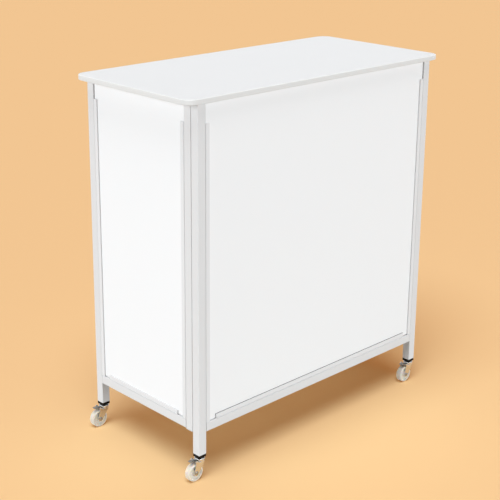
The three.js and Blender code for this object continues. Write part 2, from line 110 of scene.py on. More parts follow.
# Lights on the counter: low, wide ones on both sides of the camera, which reach under the worktop's
# edge and leave the joints dark, one behind for the right side and the open back, and a high one
# for the top. The paper has its own, for the shadow beneath, and a glow that keeps it warm.
lamp_distance = 3
cool = (0.95, 1, 1.055)
white = (1, 1, 1)
bluish = (0.95, 1, 1.2)
warm = (1, 0.25, 0)
all_but_floor = bpy.data.collections.new("all_but_floor")
all_but_floor.objects.link(studio_floor)
all_but_floor.collection_objects[0].light_linking.link_state = "EXCLUDE"
floor_alone = bpy.data.collections.new("floor_alone")
floor_alone.objects.link(studio_floor)


def broad_light(name, azimuth, height, strength, width, colour, lit, mirrored=False):
    """A lamp far off, seen as wide as width degrees, at an azimuth from the front and a height."""
    turn, rise = math.radians(azimuth), math.radians(height)
    place = Vector(
        (math.sin(turn) * math.cos(rise), -math.cos(turn) * math.cos(rise), math.sin(rise))
    )
    bpy.ops.object.light_add(type="SUN", location=lamp_distance * place)
    lamp = bpy.context.object
    lamp.name = name
    lamp.rotation_euler = (-place).to_track_quat("-Z", "Y").to_euler()
    lamp.data.energy = strength
    lamp.data.color = colour
    lamp.data.angle = math.radians(width)
    lamp.light_linking.receiver_collection = lit
    lamp.visible_glossy = mirrored
    return lamp


broad_light("left_light", -100, 12, 2.08, 30, cool, all_but_floor)
broad_light("front_light", 18, 12, 1.79, 30, cool, all_but_floor)
broad_light("back_light", 135, 15, 1.44, 40, cool, all_but_floor)
broad_light("high_light", -60, 84, 2.22, 40, white, all_but_floor, mirrored=True)
broad_light("shadow_light", -60, 68, 2.58, 40, bluish, floor_alone)
paper_glow = broad_light("paper_glow", 0, 90, 1.13, 40, warm, floor_alone)
paper_glow.light_linking.blocker_collection = floor_alone

surround = bpy.data.worlds.new("surround")
bpy.context.scene.world = surround
surround.use_nodes = True
surround_nodes = surround.node_tree.nodes
ambient = surround_nodes["Background"]
ambient.inputs["Color"].default_value = (1, 0.94, 0.84, 1)
ambient.inputs["Strength"].default_value = 0.15
mirrored_walls = surround_nodes.new("ShaderNodeBackground")
mirrored_walls.inputs["Color"].default_value = (0.82, 0.83, 0.85, 1)
backdrop = surround_nodes.new("ShaderNodeBackground")
backdrop.inputs["Color"].default_value = far_peach
room = shown_to(
    surround.node_tree,
    ("Is Glossy Ray",),
    ambient.outputs["Background"],
    mirrored_walls.outputs["Background"],
)
room = shown_to(
    surround.node_tree,
    ("Is Camera Ray", "Is Transmission Ray"),
    room,
    backdrop.outputs["Background"],
)
surround.node_tree.links.new(room, surround_nodes["World Output"].inputs["Surface"])
bpy.context.scene.view_settings.view_transform = "Standard"


# Legs, stiles and rails: mild steel tube with mill-rounded corners, sawn square, welded into three
# frames and powder coated white. The legs' upper ends stay open to take the worktop's pegs.
tube_corner = 0.0017
tube_wall = 0.0016
tube_corner_steps = 4
tube_burr = 0.0005
wear_spread = 0.1
smooth_below = math.radians(40)
square_edge = math.radians(60)
body_holding = {
    node: body
    for body, members in frame["record"]["behaviour"]["bodies"].items()
    for node in members
}


def settle(name):
    """Names the primitive just added and puts its place, turn and scale in its mesh."""
    piece = bpy.context.object
    piece.name = name
    piece.data.name = name
    bpy.ops.object.transform_apply(location=True, rotation=True, scale=True)
    return piece


def block(name, low, high):
    """A new block from one corner to the other."""
    bpy.ops.object.select_all(action="DESELECT")
    middle = [(a + b) / 2 for a, b in zip(low, high)]
    bpy.ops.mesh.primitive_cube_add(size=1, location=middle)
    bpy.context.object.scale = [b - a for a, b in zip(low, high)]
    return settle(name)


def choose(kind, wanted):
    """Edit mode: selects only the points, edges or faces that wanted accepts."""
    bpy.ops.mesh.select_mode(type=kind)
    bpy.ops.mesh.select_all(action="DESELECT")
    mesh = bmesh.from_edit_mesh(bpy.context.object.data)
    parts = {"VERT": mesh.verts, "EDGE": mesh.edges, "FACE": mesh.faces}[kind]
    for part in parts:
        if wanted(part):
            part.select_set(True)
    mesh.select_flush_mode()
    bmesh.update_edit_mesh(bpy.context.object.data)


def runs(edge, axis):
    """True where an edge runs along that axis."""
    along = edge.verts[1].co - edge.verts[0].co
    return abs(along[axis]) > 0.999 * along.length


def faces(face, axis, side=0):
    """True where a face looks along that axis, either way or towards side."""
    return face.normal[axis] * side > 0.99 if side else abs(face.normal[axis]) > 0.99


def worked(kind, **settings):
    """Adds a modifier with those settings to the piece in hand and applies it."""
    bpy.ops.object.modifier_add(type=kind)
    modifier = bpy.context.object.modifiers[-1]
    for name, value in settings.items():
        setattr(modifier, name, value)
    bpy.ops.object.modifier_apply(modifier=modifier.name)


def polished(piece):
    """Smooth shading that keeps the corners crisp and the flats flat."""
    bpy.ops.object.select_all(action="DESELECT")
    piece.select_set(True)
    bpy.context.view_layer.objects.active = piece
    bpy.ops.object.shade_smooth_by_angle(angle=smooth_below)
    worked("WEIGHTED_NORMAL", keep_sharp=True, weight=50)


def fitted(piece, node, surface):
    """The piece stands for that node: same body and its surface, and the node itself is hidden."""
    polished(piece)
    piece.data.materials.clear()
    piece.data.materials.append(surface)
    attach(piece, body_holding[node])
    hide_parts(node)


def finish(name, colour, tint, roughness, grain, depth, cloud=9, metallic=0.0):
    """An opaque surface: a colour that drifts a little towards tint, and a fine bumpy grain.

    grain is the number of bumps in a metre, depth their height in metres, and cloud the number
    of drifts in a metre.
    """
    material = bpy.data.materials.new(name)
    material.use_nodes = True
    new = material.node_tree.nodes.new
    link = material.node_tree.links.new
    shader = material.node_tree.nodes["Principled BSDF"]
    shader.inputs["Metallic"].default_value = metallic
    place = new("ShaderNodeTexCoord")
    drift = new("ShaderNodeTexNoise")
    drift.inputs["Scale"].default_value = cloud
    drift.inputs["Detail"].default_value = 3
    link(place.outputs["Object"], drift.inputs["Vector"])
    shade = new("ShaderNodeMix")
    shade.data_type = "RGBA"
    shade.inputs["A"].default_value = (*colour, 1)
    shade.inputs["B"].default_value = (*tint, 1)
    link(drift.outputs["Fac"], shade.inputs["Factor"])
    link(shade.outputs["Result"], shader.inputs["Base Color"])
    wear = new("ShaderNodeMapRange")
    wear.inputs["To Min"].default_value = roughness * (1 - wear_spread)
    wear.inputs["To Max"].default_value = roughness * (1 + wear_spread)
    link(drift.outputs["Fac"], wear.inputs["Value"])
    link(wear.outputs["Result"], shader.inputs["Roughness"])
    bumps = new("ShaderNodeTexNoise")
    bumps.inputs["Scale"].default_value = grain
    bumps.inputs["Detail"].default_value = 2
    link(place.outputs["Object"], bumps.inputs["Vector"])
    relief = new("ShaderNodeBump")
    relief.inputs["Strength"].default_value = 1
    relief.inputs["Distance"].default_value = depth
    link(bumps.outputs["Fac"], relief.inputs["Height"])
    link(relief.outputs["Normal"], shader.inputs["Normal"])
    return material


def tube(node, along):
    """A length of tube in that node's place: open ends, rounded long corners, a real wall."""
    low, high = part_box(node)
    piece = block(f"{node}_tube", low, high)
    bpy.ops.object.mode_set(mode="EDIT")
    choose("FACE", lambda face: faces(face, along))
    bpy.ops.mesh.delete(type="FACE")
    choose("EDGE", lambda edge: runs(edge, along))
    bpy.ops.mesh.bevel(offset=tube_corner, segments=tube_corner_steps, affect="EDGES")
    bpy.ops.object.mode_set(mode="OBJECT")
    worked("SOLIDIFY", thickness=tube_wall, offset=-1, use_even_offset=True)
    worked("BEVEL", width=tube_burr, segments=2, limit_method="ANGLE", angle_limit=square_edge)
    return piece


powder_coat = finish(
    "white_powder_coat", (0.755, 0.755, 0.758), (0.735, 0.735, 0.738), 0.36, 900, 0.00002
)
powder_coat_shader = powder_coat.node_tree.nodes["Principled BSDF"]
powder_coat_shader.inputs["Coat Weight"].default_value = 0.06
powder_coat_shader.inputs["Coat Roughness"].default_value = 0.3

for node in ("front_left_leg", "front_right_leg", "rear_left_leg", "rear_right_leg"):
    fitted(tube(node, 2), node, powder_coat)
for side in ("left", "right"):
    fitted(tube(f"{side}_stile", 2), f"{side}_stile", powder_coat)
for frame_side, along in (("front", 0), ("left", 1), ("right", 1)):
    for level in ("bottom", "top"):
        node = f"{frame_side}_{level}_rail"
        fitted(tube(node, along), node, powder_coat)


# Stile plugs: white polyethylene stoppers pushed into the stiles' sawn lower ends, each with a thin
# flange that covers the wall of the tube.
plug_flange = 0.0016
plug_edge = 0.0005
plug_sleeve_inset = 0.0022
white_polyethylene = finish(
    "white_polyethylene", (0.77, 0.77, 0.765), (0.75, 0.75, 0.745), 0.45, 1200, 0.000012
)
for side in ("left", "right"):
    node = f"{side}_stile_plug"
    low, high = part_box(node)
    plug = block(f"{node}_moulding", low, (high.x, high.y, low.z + plug_flange))
    bpy.ops.object.mode_set(mode="EDIT")
    choose("EDGE", lambda edge: runs(edge, 2))
    bpy.ops.mesh.bevel(offset=tube_corner, segments=tube_corner_steps, affect="EDGES")
    choose("FACE", lambda face: faces(face, 2, -1))
    bpy.ops.mesh.bevel(offset=plug_edge, segments=3, affect="EDGES")
    choose("FACE", lambda face: faces(face, 2, 1))
    bpy.ops.mesh.inset(thickness=plug_sleeve_inset)
    rise = high.z - low.z - plug_flange
    bpy.ops.mesh.extrude_region_move(TRANSFORM_OT_translate={"value": (0, 0, rise)})
    bpy.ops.object.mode_set(mode="OBJECT")
    fitted(plug, node, white_polyethylene)


# Panel channels: extruded white PVC, a U that grips the board's edge and is stuck to the tube. Each
# has a groove along the foot of its outer face, deep on the lower ones and barely scribed on the
# upright ones. The lower ones stop short of the corners.
channel_wall = 0.0015
channel_edge = 0.0004
groove_width = 0.0016
groove_depth = 0.001
scribed_depth = 0.0003
groove_share = 0.14
channel_pvc = finish(
    "white_channel_pvc", (0.8, 0.8, 0.805), (0.785, 0.785, 0.79), 0.33, 500, 0.000008
)


def channel(node, along, mouth_axis, mouth_side, face_axis, face_side):
    """A channel in that node's place, its mouth and its grooved face on those sides."""
    low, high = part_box(node)
    piece = block(f"{node}_profile", low, high)
    bpy.ops.object.mode_set(mode="EDIT")
    choose("FACE", lambda face: faces(face, along) or faces(face, mouth_axis, mouth_side))
    bpy.ops.mesh.delete(type="FACE")
    bpy.ops.object.mode_set(mode="OBJECT")
    worked("SOLIDIFY", thickness=channel_wall, offset=-1, use_even_offset=True)
    outer = (high if face_side > 0 else low)[face_axis]
    foot, mouth = (low, high) if mouth_side > 0 else (high, low)
    middle = foot[mouth_axis] + groove_share * (mouth[mouth_axis] - foot[mouth_axis])
    across = [0, 0, 0]
    across[mouth_axis] = 1
    bpy.ops.object.mode_set(mode="EDIT")
    for offset in (-groove_width / 2, groove_width / 2):
        cut = [0, 0, 0]
        cut[mouth_axis] = middle + offset
        bpy.ops.mesh.select_all(action="SELECT")
        bpy.ops.mesh.bisect(plane_co=cut, plane_no=across)

    def in_groove(face):
        centre = face.calc_center_median()
        near = abs(centre[face_axis] - outer) < channel_wall / 4
        return near and abs(centre[mouth_axis] - middle) < groove_width / 4

    choose("FACE", lambda face: faces(face, face_axis, face_side) and in_groove(face))
    sink = [0, 0, 0]
    sink[face_axis] = -face_side * (scribed_depth if along == 2 else groove_depth)
    bpy.ops.mesh.extrude_region_move(TRANSFORM_OT_translate={"value": sink})
    bpy.ops.object.mode_set(mode="OBJECT")
    worked("BEVEL", width=channel_edge, segments=2, limit_method="ANGLE", angle_limit=square_edge)
    return piece


channel_runs = [
    ("front_left_channel", 2, 0, 1, 1, -1),
    ("front_right_channel", 2, 0, -1, 1, -1),
    ("front_bottom_channel", 0, 2, 1, 1, -1),
    ("left_stile_channel", 2, 1, 1, 0, -1),
    ("left_leg_channel", 2, 1, -1, 0, -1),
    ("left_bottom_channel", 1, 2, 1, 0, -1),
    ("right_stile_channel", 2, 1, 1, 0, 1),
    ("right_leg_channel", 2, 1, -1, 0, 1),
    ("right_bottom_channel", 1, 2, 1, 0, 1),
]
for node, *run in channel_runs:
    fitted(channel(node, *run), node, channel_pvc)


# Panels: 4 mm foamed PVC boards with smooth white faces, sawn to size and slid down into the
# channels from above. Their sawn edges are barely broken.
board_edge = 0.0003
board_pvc = finish(
    "white_board_pvc", (0.92, 0.92, 0.921), (0.91, 0.91, 0.912), 0.48, 2500, 0.000006, cloud=3
)
for side in ("front", "left", "right"):
    node = f"{side}_panel"
    board = block(f"{node}_board", *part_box(node))
    worked("BEVEL", width=board_edge, segments=2)
    fitted(board, node, board_pvc)


# Sealing strips: soft PVC, pressed in between the channel's outer lip and the board to hold it
# against the back of the slot. White, but a little proud along the front's foot and dark grey
# there: painted shade, a dark line that stands for the shadow between the lip and the board.
strip_depth = 0.003
strip_proud = 0.0008
strip_sunk = 0.0002
strip_edge = 0.0003
# Painted shade: this dark grey stands for the shadow line between the front's bottom lip and the
# board.
grey_seal = finish("grey_seal", (0.2, 0.2, 0.2), (0.24, 0.24, 0.24), 0.6, 800, 0.00001)
for node, along, mouth_axis, mouth_side, face_axis, face_side in channel_runs:
    low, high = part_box(node)
    board_low, board_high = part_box(f"{node.partition('_')[0]}_panel")
    mouth = (high if mouth_side > 0 else low)[mouth_axis]
    # Only the front's foot strip carries the painted shade, and it stands proud so that the line
    # shows.
    carries_painted_shade = node == "front_bottom_channel"
    stands = strip_proud if carries_painted_shade else -strip_sunk
    lip = (high if face_side > 0 else low)[face_axis] - face_side * channel_wall
    board_face = (board_high if face_side > 0 else board_low)[face_axis]
    strip_low, strip_high = list(low), list(high)
    strip_low[mouth_axis], strip_high[mouth_axis] = sorted(
        (mouth - mouth_side * strip_depth, mouth + mouth_side * stands)
    )
    strip_low[face_axis], strip_high[face_axis] = sorted((lip, board_face))
    strip = block(f"{node}_seal", strip_low, strip_high)
    worked("BEVEL", width=strip_edge, segments=2)
    polished(strip)
    strip.data.materials.append(grey_seal if carries_painted_shade else channel_pvc)
    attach(strip, body_holding[node])


# Worktop: 12 mm particle board faced with white melamine, its corners sawn round, two square pegs
# glued under it that drop into the front legs. Softly rounded 2 mm edging is glued round it.
top_corner = 0.03
edging_thickness = 0.002
edging_round = 0.0018
corner_steps = 14
melamine_edge = 0.00025
peg_gap = 0.0022
peg_chamfer = 0.002
melamine = finish(
    "white_melamine", (0.665, 0.665, 0.667), (0.655, 0.655, 0.657), 0.42, 1100, 0.000012, cloud=4
)
edging_abs = finish("white_edging", (0.76, 0.757, 0.745), (0.745, 0.74, 0.727), 0.4, 300, 0.00001)


def rounded_corners(radius):
    """Edit mode: rounds a slab's four upright edges."""
    choose("EDGE", lambda edge: runs(edge, 2))
    bpy.ops.mesh.bevel(offset=radius, segments=corner_steps, affect="EDGES")


band_low, band_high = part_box("worktop_edge_band")
low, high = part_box("worktop_board")
slab_low = (low.x, low.y, band_low.z)
slab = block("worktop_slab", slab_low, high)
bpy.ops.object.mode_set(mode="EDIT")
rounded_corners(top_corner - (low.x - band_low.x))
choose("FACE", lambda face: faces(face, 2))
bpy.ops.mesh.bevel(offset=melamine_edge, segments=2, affect="EDGES")
bpy.ops.object.mode_set(mode="OBJECT")
fitted(slab, "worktop_board", melamine)

for side in ("left", "right"):
    leg_low, leg_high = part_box(f"front_{side}_leg")
    peg_low = (leg_low.x + peg_gap, leg_low.y + peg_gap, low.z)
    peg_high = (leg_high.x - peg_gap, leg_high.y - peg_gap, band_low.z)
    peg = block(f"worktop_{side}_peg", peg_low, peg_high)
    bpy.ops.object.mode_set(mode="EDIT")
    choose("FACE", lambda face: faces(face, 2, -1))
    bpy.ops.mesh.bevel(offset=peg_chamfer, segments=1, affect="EDGES")
    choose("EDGE", lambda edge: runs(edge, 2))
    bpy.ops.mesh.bevel(offset=peg_chamfer / 2, segments=2, affect="EDGES")
    bpy.ops.object.mode_set(mode="OBJECT")
    polished(peg)
    peg.data.materials.append(melamine)
    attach(peg, "worktop")

edging = block("worktop_edging", band_low, band_high)
bpy.ops.object.mode_set(mode="EDIT")
rounded_corners(top_corner)
choose("FACE", lambda face: faces(face, 2))
bpy.ops.mesh.delete(type="FACE")
bpy.ops.object.mode_set(mode="OBJECT")
worked("SOLIDIFY", thickness=edging_thickness, offset=-1, use_even_offset=True)
bpy.ops.object.mode_set(mode="EDIT")


def on_outer_rim(edge):
    """True on the two rims of the edging's outer face."""
    ends = [point.co for point in edge.verts]
    if abs(ends[0].z - ends[1].z) > melamine_edge:
        return False
    walls = [face for face in edge.link_faces if abs(face.normal.z) < 0.5]
    middle = (ends[0] + ends[1]) / 2
    return bool(walls) and walls[0].normal.dot(Vector((middle.x, middle.y, 0))) > 0


choose("EDGE", on_outer_rim)
bpy.ops.mesh.bevel(offset=edging_round, segments=4, affect="EDGES")
bpy.ops.object.mode_set(mode="OBJECT")
fitted(edging, "worktop_edge_band", edging_abs)


# Butt hinges: two on each side between a front leg and its stile, pressed and rolled from plated
# steel sheet, each leaf held by three countersunk screws, the pin fixed in the leg's leaf.
leaf_thickness = 0.002
leaf_width = 0.0115
leaf_gap = 0.0003
leaf_corner = 0.0012
leaf_edge = 0.0003
knuckle_count = 5
knuckle_radius = 0.0036
knuckle_bore = 0.0019
knuckle_round = 0.0004
hinge_pin_radius = 0.0015
hinge_pin_taper = 0.0003
screw_heights = (-0.021, 0, 0.021)
screw_radius = 0.0027
screw_recess = 0.0013
screw_depth = 0.0005
screw_inset = 0.007
plated_steel = finish(
    "plated_steel", (0.62, 0.63, 0.64), (0.55, 0.555, 0.56), 0.34, 1600, 0.000008, 60, 1.0
)


def turned(name, profile, steps=32, closed=False):
    """A round piece about Z, from (radius, height) points: a disc or a ring, drawn out and
    widened or narrowed step by step. A closed profile runs round to its first point."""
    bpy.ops.object.select_all(action="DESELECT")
    (radius, height), *rest = profile
    bpy.ops.mesh.primitive_circle_add(
        vertices=steps,
        radius=radius,
        location=(0, 0, height),
        fill_type="NOTHING" if closed else "NGON",
    )
    piece = settle(name)
    bpy.ops.object.mode_set(mode="EDIT")
    bpy.ops.mesh.select_all(action="SELECT")
    if closed:
        rest.append(profile[0])
    for next_radius, next_height in rest:
        bpy.ops.mesh.extrude_region_move(
            TRANSFORM_OT_translate={"value": (0, 0, next_height - height)}
        )
        grow = next_radius / radius
        if grow != 1:
            bpy.ops.transform.resize(value=(grow, grow, 1), center_override=(0, 0, next_height))
        radius, height = next_radius, next_height
    bpy.ops.mesh.select_all(action="SELECT")
    bpy.ops.mesh.remove_doubles(threshold=1e-6)
    bpy.ops.mesh.normals_make_consistent(inside=False)
    bpy.ops.object.mode_set(mode="OBJECT")
    return piece


def one_piece(name, *parts):
    """Joins parts that are made as one."""
    bpy.ops.object.select_all(action="DESELECT")
    for part in parts:
        part.select_set(True)
    bpy.context.view_layer.objects.active = parts[0]
    bpy.ops.object.join()
    parts[0].name = name
    parts[0].data.name = name
    return parts[0]


def screw_head():
    """A countersunk head with a sunk drive, facing +X, its middle at the origin."""
    head = turned(
        "screw_head",
        [
            (screw_radius, -screw_depth),
            (screw_radius, 0),
            (screw_radius * 0.93, screw_depth / 4),
            (screw_recess, screw_depth / 2),
        ],
        steps=16,
    )
    bpy.ops.object.mode_set(mode="EDIT")
    choose("FACE", lambda face: faces(face, 2, 1) and face.calc_center_median().z > 0)
    bpy.ops.mesh.inset(thickness=screw_recess / 5)
    bpy.ops.mesh.extrude_region_move(
        TRANSFORM_OT_translate={"value": (0, 0, -screw_depth * 0.8)}
    )
    bpy.ops.transform.resize(value=(0.5, 0.5, 1), center_override=(0, 0, 0))
    bpy.ops.object.mode_set(mode="OBJECT")
    head.data.transform(Matrix.Rotation(math.pi / 2, 4, "Y"))
    return head


def hinge_leaf(name, height, fixed):
    """One leaf of a left-hand hinge about the origin: the fixed one lies towards -Y."""
    segment = height / knuckle_count
    way = -1 if fixed else 1
    inner = -knuckle_radius
    near, far = sorted((way * leaf_gap, way * (leaf_gap + leaf_width)))
    plate = block("plate", (inner, near, -height / 2), (inner + leaf_thickness, far, height / 2))
    bpy.ops.object.mode_set(mode="EDIT")
    choose(
        "EDGE",
        lambda edge: runs(edge, 0) and edge.verts[0].co.y * way > leaf_gap * 2,
    )
    bpy.ops.mesh.bevel(offset=leaf_corner, segments=4, affect="EDGES")
    bpy.ops.object.mode_set(mode="OBJECT")
    worked("BEVEL", width=leaf_edge, segments=2, limit_method="ANGLE", angle_limit=square_edge)
    parts = [plate]
    for index in range(knuckle_count):
        if (index % 2 == 0) != fixed:
            continue
        base = segment * index - height / 2 + leaf_gap / 2
        top = base + segment - leaf_gap
        barrel = turned(
            "barrel",
            [
                (knuckle_bore, base),
                (knuckle_radius - knuckle_round, base),
                (knuckle_radius, base + knuckle_round),
                (knuckle_radius, top - knuckle_round),
                (knuckle_radius - knuckle_round, top),
                (knuckle_bore, top),
            ],
            closed=True,
        )
        strap_low = (inner, min(0, way * knuckle_radius), base)
        strap_high = (inner + leaf_thickness, max(0, way * knuckle_radius), top)
        parts += [barrel, block("strap", strap_low, strap_high)]
    if fixed:
        end = height / 2
        parts.append(
            turned(
                "pin",
                [
                    (hinge_pin_radius - hinge_pin_taper, -end),
                    (hinge_pin_radius, hinge_pin_taper - end),
                    (hinge_pin_radius, end - hinge_pin_taper),
                    (hinge_pin_radius - hinge_pin_taper, end),
                ],
                steps=24,
            )
        )
    for up in screw_heights:
        head = screw_head()
        head.data.transform(
            Matrix.Translation((inner + leaf_thickness, way * (leaf_gap + screw_inset), up))
        )
        parts.append(head)
    return one_piece(name, *parts)


def copied(piece, name, matrix):
    """A copy of a piece with a mesh of its own, moved or mirrored by matrix."""
    mesh = piece.data.copy()
    copy = bpy.data.objects.new(name, mesh)
    bpy.context.scene.collection.objects.link(copy)
    mesh.name = name
    mesh.transform(matrix)
    if matrix.determinant() < 0:
        mesh.flip_normals()
    return copy


hinge_low, hinge_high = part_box("left_lower_hinge_leg_leaf")
hinge_height = hinge_high.z - hinge_low.z
leaves = {
    "leg": hinge_leaf("leg_leaf", hinge_height, True),
    "wing": hinge_leaf("wing_leaf", hinge_height, False),
}
joint_places = {joint["name"]: joint.get("pos_m") for joint in frame["joints"]}
for side, way in (("left", 1), ("right", -1)):
    axis_x, axis_y, _ = joint_places[f"{side}_wing_fold"]
    for level in ("lower", "upper"):
        for holder, leaf in leaves.items():
            node = f"{side}_{level}_hinge_{holder}_leaf"
            low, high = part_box(node)
            place = Matrix.Translation((axis_x, axis_y, (low.z + high.z) / 2))
            turn = Matrix.Diagonal((way, 1, 1, 1))
            fitted(copied(leaf, f"{node}_steel", place @ turn), node, plated_steel)
for leaf in leaves.values():
    bpy.data.objects.remove(leaf)


# Casters: bought-in swivel casters with a side-mounted foot brake. Each part is made once about
# the swivel axis, in the turn that the counter stands in, and copied to the four legs.
caster_places = {
    corner: joint_places[f"{corner}_swivel"]
    for corner in ("front_left", "front_right", "rear_left", "rear_right")
}


def on_each_caster(master, part, surface):
    """Copies a caster part to the four legs and clears the master away."""
    for corner, (x, y, _) in caster_places.items():
        node = f"{corner}_caster_{part}"
        copy = copied(master, f"{node}_part", Matrix.Translation((x, y, 0)))
        fitted(copy, node, surface)
    bpy.data.objects.remove(master)


# Caster socket: black nylon, a square flange that shows under the leg and a tapered sleeve up
# inside the tube, which holds the caster's stem.
black_nylon = finish(
    "black_nylon", (0.005, 0.005, 0.0055), (0.009, 0.009, 0.009), 0.5, 1400, 0.000015
)
black_nylon.node_tree.nodes["Principled BSDF"].inputs["Specular IOR Level"].default_value = 0.12
leg_low, leg_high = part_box("front_left_leg")
leg_size = leg_high.x - leg_low.x
low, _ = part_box("front_left_caster_cap")
seat_gap = 0.0003
flange_top = leg_low.z - seat_gap
socket_corner = 0.002
socket_edge = 0.0008
sleeve_inset = 0.0021
sleeve_length = 0.027
sleeve_tip = 0.002
sleeve_taper = 0.86
socket = block(
    "socket", (-leg_size / 2, -leg_size / 2, low.z), (leg_size / 2, leg_size / 2, flange_top)
)
bpy.ops.object.mode_set(mode="EDIT")
choose("EDGE", lambda edge: runs(edge, 2))
bpy.ops.mesh.bevel(offset=socket_corner, segments=5, affect="EDGES")
choose("FACE", lambda face: faces(face, 2, -1))
bpy.ops.mesh.bevel(offset=socket_edge, segments=3, affect="EDGES")
choose("FACE", lambda face: faces(face, 2, 1))
bpy.ops.mesh.inset(thickness=sleeve_inset)
for length in (sleeve_length, sleeve_tip):
    bpy.ops.mesh.extrude_region_move(TRANSFORM_OT_translate={"value": (0, 0, length)})
bpy.ops.transform.resize(value=(sleeve_taper, sleeve_taper, 1), center_override=(0, 0, 0))
bpy.ops.object.mode_set(mode="OBJECT")
on_each_caster(socket, "cap", black_nylon)


# Caster head: the stem with its pressed upper bearing cup, bright zinc plated. The rivet through
# both cups ends in a domed head under the fork's crown.
zinc = finish("bright_zinc", (0.78, 0.785, 0.785), (0.66, 0.67, 0.675), 0.24, 900, 0.00001, 90, 1.0)
low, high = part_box("front_left_caster_head")
cup_low = 0.05
cup_high = 0.0528
neck_high = 0.055
head = turned(
    "head",
    [
        (0.003, low.z),
        (0.0046, low.z + 0.0004),
        (0.0055, low.z + 0.0013),
        (0.0056, low.z + 0.002),
        (0.0036, low.z + 0.002),
        (0.0036, cup_low),
        (0.0118, cup_low),
        (0.0124, cup_low + 0.0002),
        (0.0126, cup_low + 0.0008),
        (0.0126, cup_low + 0.0016),
        (0.0123, cup_low + 0.0023),
        (0.0115, cup_high),
        (0.0102, cup_high + 0.0006),
        (0.0092, cup_high + 0.0016),
        (0.0086, neck_high - 0.0003),
        (0.0082, neck_high),
        (0.0055, neck_high),
        (0.0052, neck_high + 0.0002),
        (0.004, neck_high + 0.0002),
        (0.004, high.z - 0.0008),
        (0.0032, high.z),
    ],
    steps=48,
)
on_each_caster(head, "head", zinc)


# Caster fork: one blank of 1.6 mm steel, folded down into two tapering cheeks, with a round crown
# that carries the lower bearing cup, ears for the brake's pin, and bright zinc plating.
low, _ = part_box("front_left_caster_fork")
swivel_x, swivel_y, _ = caster_places["front_left"]
cheek_outside = swivel_y - low.y
sheet = 0.0016
crown_top = 0.047
crown_back = -0.01
crown_front = 0.0052
boss_radius = 0.0065
fold_radius = 0.0016
fork_edge = 0.0003
ear_radius = 0.0034
cheek_start = 0.004
boss_from = 27
folded_edge = math.radians(50)
nearly = 1e-5
spin_x, _, axle_z = joint_places["front_left_wheel_spin"]
axle_x = spin_x - swivel_x
press_x, _, pin_z = joint_places["front_left_brake_press"]
pin_x = press_x - swivel_x
cheek_back = pin_x - ear_radius
cheek_low = crown_top - cheek_start

bpy.ops.object.select_all(action="DESELECT")
bpy.ops.mesh.primitive_plane_add(size=1, rotation=(math.pi / 2, 0, 0))
bpy.context.object.location = (
    (cheek_back + crown_front) / 2,
    cheek_outside,
    (cheek_low + crown_top) / 2,
)
bpy.context.object.scale = (crown_front - cheek_back, crown_top - cheek_low, 1)
fork = settle("fork")


def drawn_out(level, x_low, x_high):
    """Edit mode: draws the chosen edge out to a new level and a new width along X."""
    mesh = bmesh.from_edit_mesh(bpy.context.object.data)
    ends = [point.co.copy() for point in mesh.verts if point.select]
    old_low = min(end.x for end in ends)
    old_high = max(end.x for end in ends)
    shift = ((x_low + x_high) - (old_low + old_high)) / 2
    rise = level - ends[0].z
    bpy.ops.mesh.extrude_region_move(TRANSFORM_OT_translate={"value": (shift, 0, rise)})
    bpy.ops.transform.resize(
        value=((x_high - x_low) / (old_high - old_low), 1, 1),
        center_override=((x_low + x_high) / 2, 0, 0),
    )


bpy.ops.object.mode_set(mode="EDIT")
choose("EDGE", lambda edge: runs(edge, 0) and edge.verts[0].co.z < cheek_low + nearly)
front_run = (crown_front - axle_x - boss_radius * math.cos(math.radians(boss_from))) / (
    cheek_low - axle_z + boss_radius * math.sin(math.radians(boss_from))
)
drawn_out(axle_z, axle_x - boss_radius, crown_front - front_run * (cheek_low - axle_z))
for angle in (boss_from, 45, 60, 72, 82):
    half = boss_radius * math.cos(math.radians(angle))
    drawn_out(axle_z - boss_radius * math.sin(math.radians(angle)), axle_x - half, axle_x + half)
for cut_x in (pin_x + ear_radius, crown_back):
    bpy.ops.mesh.select_all(action="SELECT")
    bpy.ops.mesh.bisect(plane_co=(cut_x, 0, 0), plane_no=(1, 0, 0))


def on_fold_line(edge, x_low, x_high):
    """True on the cheek's top edge between two places along X."""
    ends = [point.co for point in edge.verts]
    return (
        runs(edge, 0)
        and min(ends[0].z, ends[1].z) > crown_top - nearly
        and x_low - nearly < min(ends[0].x, ends[1].x)
        and max(ends[0].x, ends[1].x) < x_high + nearly
    )


choose("EDGE", lambda edge: on_fold_line(edge, cheek_back, pin_x + ear_radius))
drawn_out(pin_z, cheek_back, pin_x + ear_radius)
for angle in (30, 50, 68, 80):
    half = ear_radius * math.cos(math.radians(angle))
    drawn_out(pin_z + ear_radius * math.sin(math.radians(angle)), pin_x - half, pin_x + half)
choose("EDGE", lambda edge: on_fold_line(edge, crown_back, crown_front))
bpy.ops.mesh.extrude_region_move(TRANSFORM_OT_translate={"value": (0, -cheek_outside, 0)})
bpy.ops.object.mode_set(mode="OBJECT")
worked("MIRROR", use_axis=(False, True, False), use_clip=True, merge_threshold=nearly)
bpy.ops.object.mode_set(mode="EDIT")
bpy.ops.mesh.select_all(action="SELECT")
bpy.ops.mesh.remove_doubles(threshold=1e-6)
bpy.ops.mesh.normals_make_consistent(inside=False)
choose(
    "EDGE",
    lambda edge: runs(edge, 0)
    and edge.verts[0].co.z > crown_top - nearly
    and abs(abs(edge.verts[0].co.y) - cheek_outside) < nearly
    and min(point.co.x for point in edge.verts) > crown_back - nearly,
)
bpy.ops.mesh.bevel(offset=fold_radius, segments=4, affect="EDGES")
bpy.ops.object.mode_set(mode="OBJECT")
worked("SOLIDIFY", thickness=sheet, offset=-1, use_even_offset=True)
worked("BEVEL", width=fork_edge, segments=2, limit_method="ANGLE", angle_limit=folded_edge)

